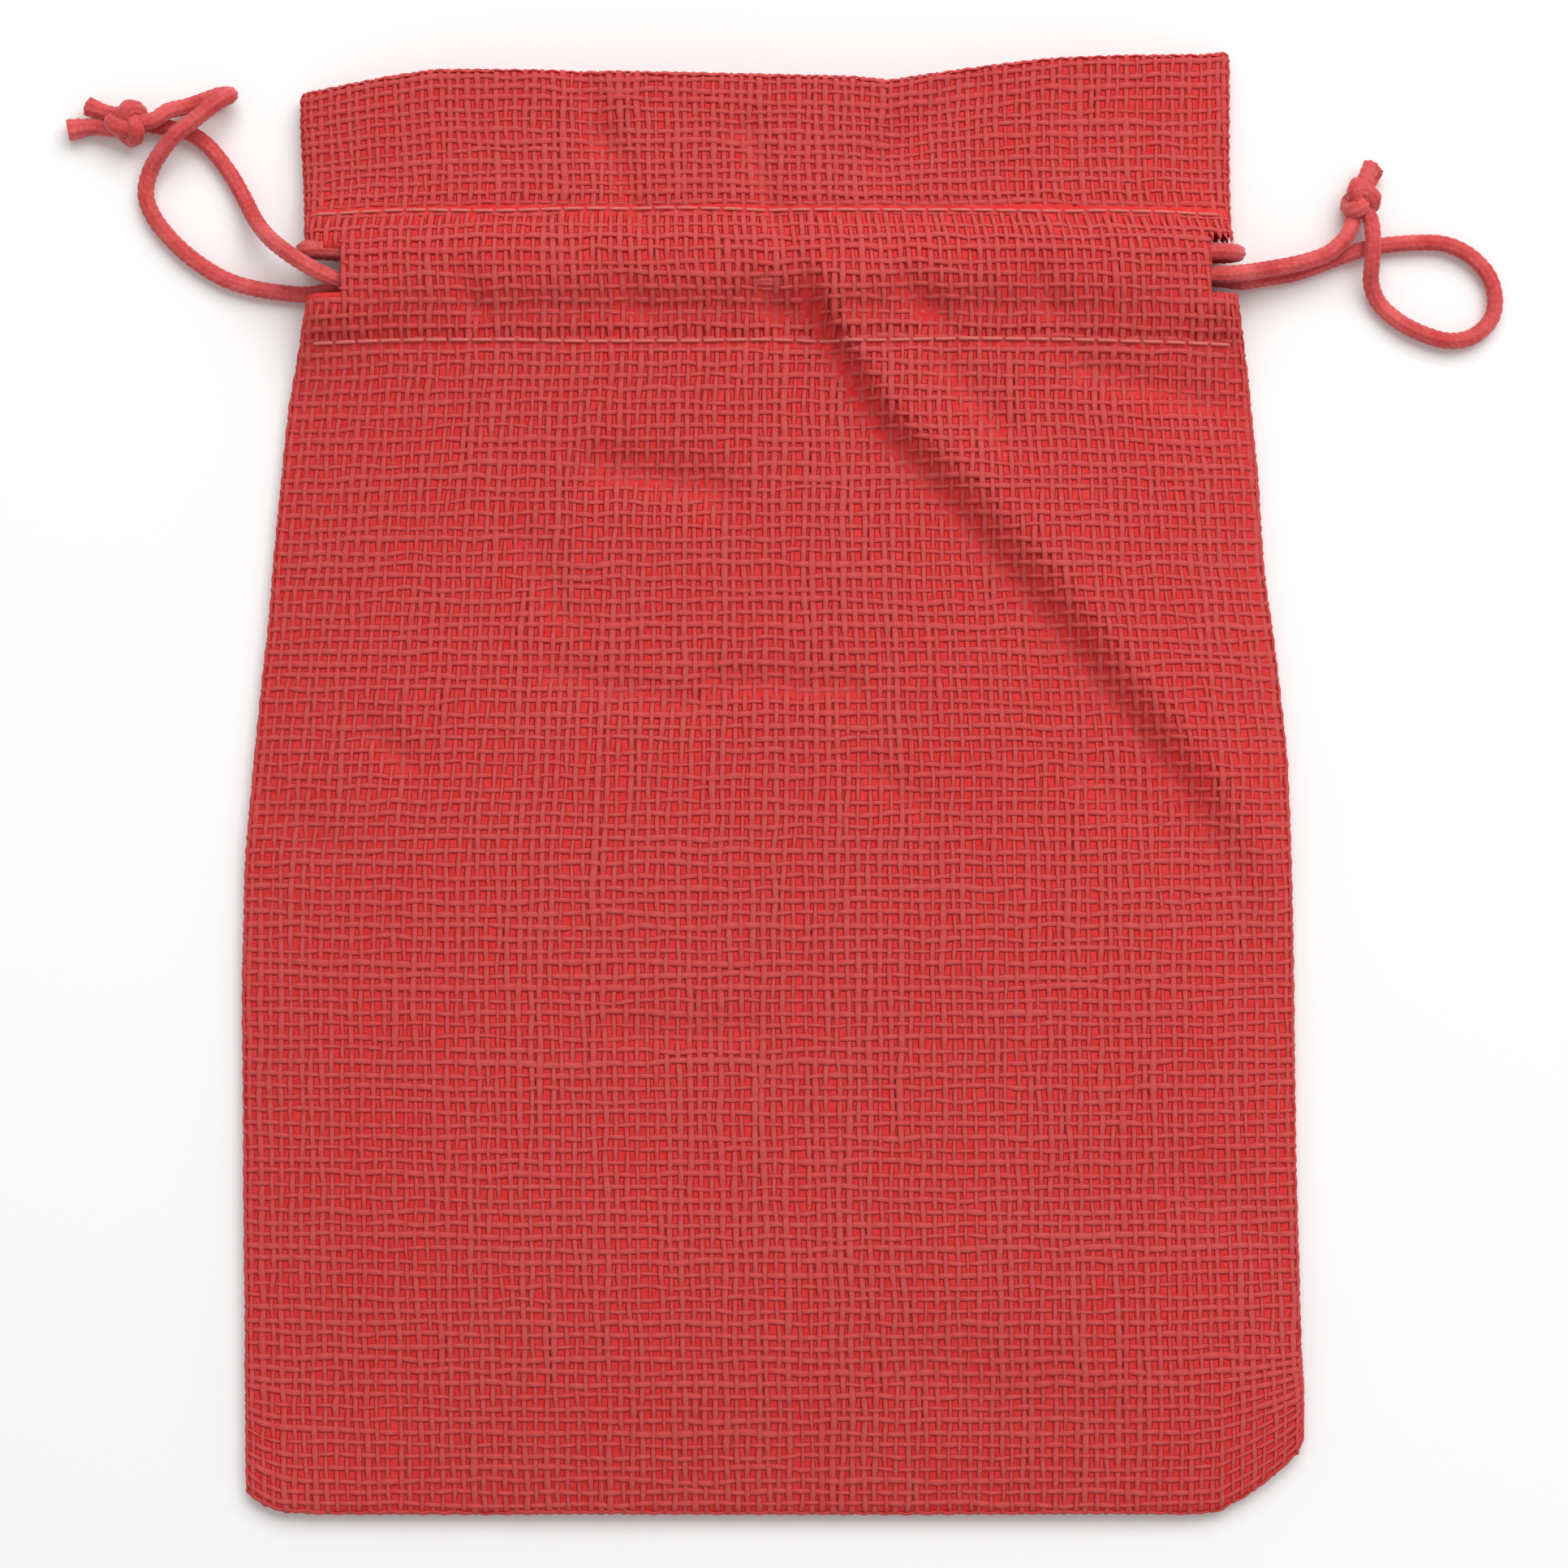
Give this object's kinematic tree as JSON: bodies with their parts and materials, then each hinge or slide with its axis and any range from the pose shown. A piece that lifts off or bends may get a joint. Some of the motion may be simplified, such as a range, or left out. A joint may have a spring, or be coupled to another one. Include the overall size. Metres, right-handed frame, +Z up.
{
  "type": "kinchaku drawstring pouch",
  "caption": "Flat woven drawstring pouch of one folded cloth with a stitched casing and a knotted drawcord at each side, lying on its back.",
  "frame": {"origin": "middle of the pouch's lower face, where it lies on the surface, measured without the cords", "axes": "+Y towards the mouth, +X to the right seen from above, +Z up through the front face"},
  "size_m": [0.1767, 0.1803, 0.0126],
  "materials": {
    "cloth": "coarse plain-woven dyed jute, matt",
    "cord": "braided round cord, slight sheen",
    "thread": "sewing thread, slight sheen"
  },
  "bodies": {
    "root": {"pouch_cloth": "cloth", "lower_casing_thread": "thread", "upper_casing_thread": "thread", "left_seam_thread": "thread", "right_seam_thread": "thread", "left_drawcord": "cord", "right_drawcord": "cord", "left_knot": "cord", "right_knot": "cord"}
  },
  "joints": []
}
